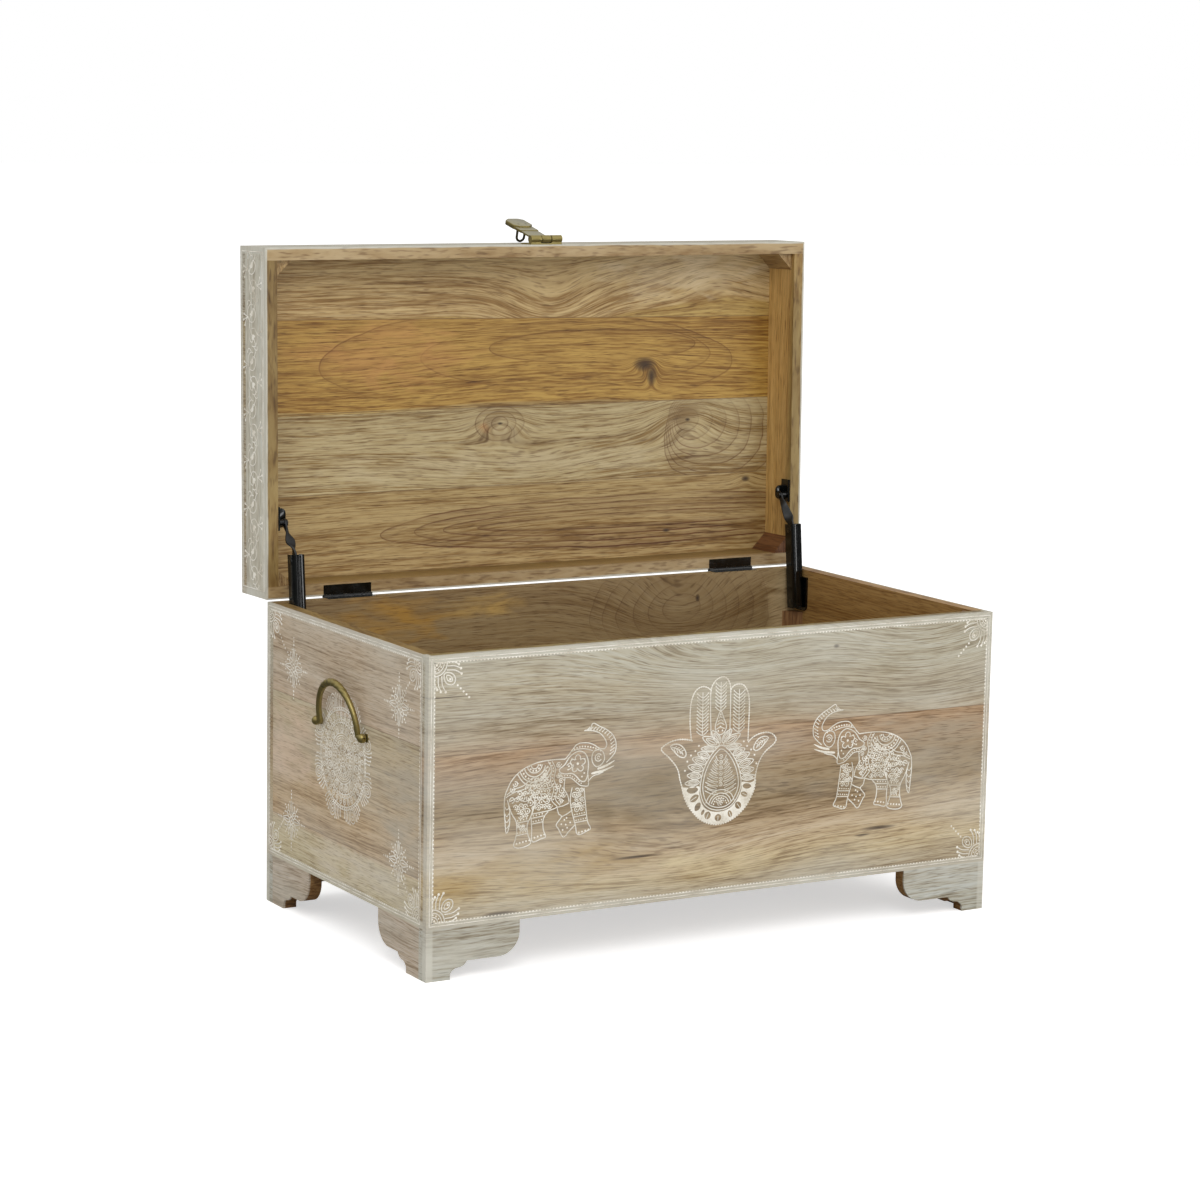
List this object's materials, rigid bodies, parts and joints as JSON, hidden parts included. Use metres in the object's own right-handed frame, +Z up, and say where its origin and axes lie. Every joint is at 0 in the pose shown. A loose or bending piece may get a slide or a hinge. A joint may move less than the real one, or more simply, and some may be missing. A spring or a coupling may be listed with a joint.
{
  "type": "storage chest",
  "caption": "Wooden storage chest on bracket feet with a hinged lid on folding stays, a hasp and swinging bail handles at the ends, for keeping linen and household things.",
  "frame": {"origin": "on the floor, under the middle of the bounding box of the chest with its lid open and its hasp folded back, 53 mm behind the middle of the four feet", "axes": "+X along the front from left to right, +Y from front to back, +Z up"},
  "size_m": [0.8388, 0.5451, 0.8548],
  "materials": {
    "whitewashed_mango": "grey-beige wash rubbed back over open grain, matt",
    "oiled_mango": "oiled, satin",
    "black_iron": "black japanned, glossy",
    "antique_brass": "darkened cast brass, rubbed bright on the edges",
    "steel_nuts": "zinc plated"
  },
  "bodies": {
    "carcass": {"front_panel": "whitewashed_mango", "back_panel": "whitewashed_mango", "left_panel": "whitewashed_mango", "right_panel": "whitewashed_mango", "bottom_panel": "oiled_mango", "corner_block_front_left": "oiled_mango", "corner_block_front_right": "oiled_mango", "corner_block_back_left": "oiled_mango", "corner_block_back_right": "oiled_mango", "foot_front_left_face_board": "whitewashed_mango", "foot_front_left_side_board": "whitewashed_mango", "foot_front_right_face_board": "whitewashed_mango", "foot_front_right_side_board": "whitewashed_mango", "foot_back_left_face_board": "whitewashed_mango", "foot_back_left_side_board": "whitewashed_mango", "foot_back_right_face_board": "whitewashed_mango", "foot_back_right_side_board": "whitewashed_mango", "foot_front_left_glue_block": "oiled_mango", "foot_front_right_glue_block": "oiled_mango", "foot_back_left_glue_block": "oiled_mango", "foot_back_right_glue_block": "oiled_mango", "hinge_left_body_leaf": "black_iron", "hinge_left_pin": "black_iron", "hinge_right_body_leaf": "black_iron", "hinge_right_pin": "black_iron", "hinge_body_screws": "black_iron", "stay_left_body_bracket": "black_iron", "stay_right_body_bracket": "black_iron", "stay_body_screws": "black_iron", "handle_left_posts": "antique_brass", "handle_right_posts": "antique_brass", "handle_nuts": "steel_nuts"},
    "lid": {"lid_front_rail": "whitewashed_mango", "lid_back_rail": "whitewashed_mango", "lid_left_rail": "whitewashed_mango", "lid_right_rail": "whitewashed_mango", "lid_top_panel": "whitewashed_mango", "lid_block_front_left": "oiled_mango", "lid_block_front_right": "oiled_mango", "lid_block_back_left": "oiled_mango", "lid_block_back_right": "oiled_mango", "hinge_left_lid_leaf": "black_iron", "hinge_right_lid_leaf": "black_iron", "hinge_lid_screws": "black_iron", "stay_left_lid_bracket": "black_iron", "stay_right_lid_bracket": "black_iron", "stay_lid_screws": "black_iron", "clasp_plate": "antique_brass", "clasp_pin": "antique_brass", "clasp_screws": "antique_brass"},
    "stay_arm_left": {"stay_left_arm": "black_iron"},
    "stay_arm_right": {"stay_right_arm": "black_iron"},
    "stay_link_left": {"stay_left_link": "black_iron"},
    "stay_link_right": {"stay_right_link": "black_iron"},
    "hasp": {"clasp_strap": "antique_brass", "clasp_loop": "antique_brass"},
    "bail_left": {"handle_left_bail": "antique_brass"},
    "bail_right": {"handle_right_bail": "antique_brass"}
  },
  "joints": [
    {"name": "lid_hinge", "type": "hinge", "parent": "carcass", "child": "lid", "pos_m": [0, 0.16887, 0.3845], "axis": [1, 0, 0], "range_deg": [0, 91]},
    {"name": "stay_arm_left_pivot", "type": "hinge", "parent": "carcass", "child": "stay_arm_left", "pos_m": [-0.372, 0.13187, 0.3405], "axis": [1, 0, 0], "range_deg": [0, 91]},
    {"name": "stay_link_left_pivot", "type": "hinge", "parent": "lid", "child": "stay_link_left", "pos_m": [-0.372, 0.17855, 0.48085], "axis": [1, 0, 0], "range_deg": [-91, 0]},
    {"name": "stay_arm_right_pivot", "type": "hinge", "parent": "carcass", "child": "stay_arm_right", "pos_m": [0.372, 0.13187, 0.3405], "axis": [1, 0, 0], "range_deg": [0, 91]},
    {"name": "stay_link_right_pivot", "type": "hinge", "parent": "lid", "child": "stay_link_right", "pos_m": [0.372, 0.17855, 0.48085], "axis": [1, 0, 0], "range_deg": [-91, 0]},
    {"name": "hasp_hinge", "type": "hinge", "parent": "lid", "child": "hasp", "pos_m": [0, 0.18269, 0.83253], "axis": [1, 0, 0], "range_deg": [0, 166]},
    {"name": "bail_left_swing", "type": "hinge", "parent": "carcass", "child": "bail_left", "pos_m": [-0.4066, -0.05233, 0.261], "axis": [0, -1, 0], "range_deg": [-8, 172]},
    {"name": "bail_right_swing", "type": "hinge", "parent": "carcass", "child": "bail_right", "pos_m": [0.4066, -0.05233, 0.261], "axis": [0, 1, 0], "range_deg": [-8, 172]}
  ],
  "couplings": [
    {"joint": "stay_arm_left_pivot", "follows": "lid_hinge", "ratio": 1},
    {"joint": "stay_link_left_pivot", "follows": "lid_hinge", "ratio": -1},
    {"joint": "stay_arm_right_pivot", "follows": "lid_hinge", "ratio": 1},
    {"joint": "stay_link_right_pivot", "follows": "lid_hinge", "ratio": -1}
  ]
}
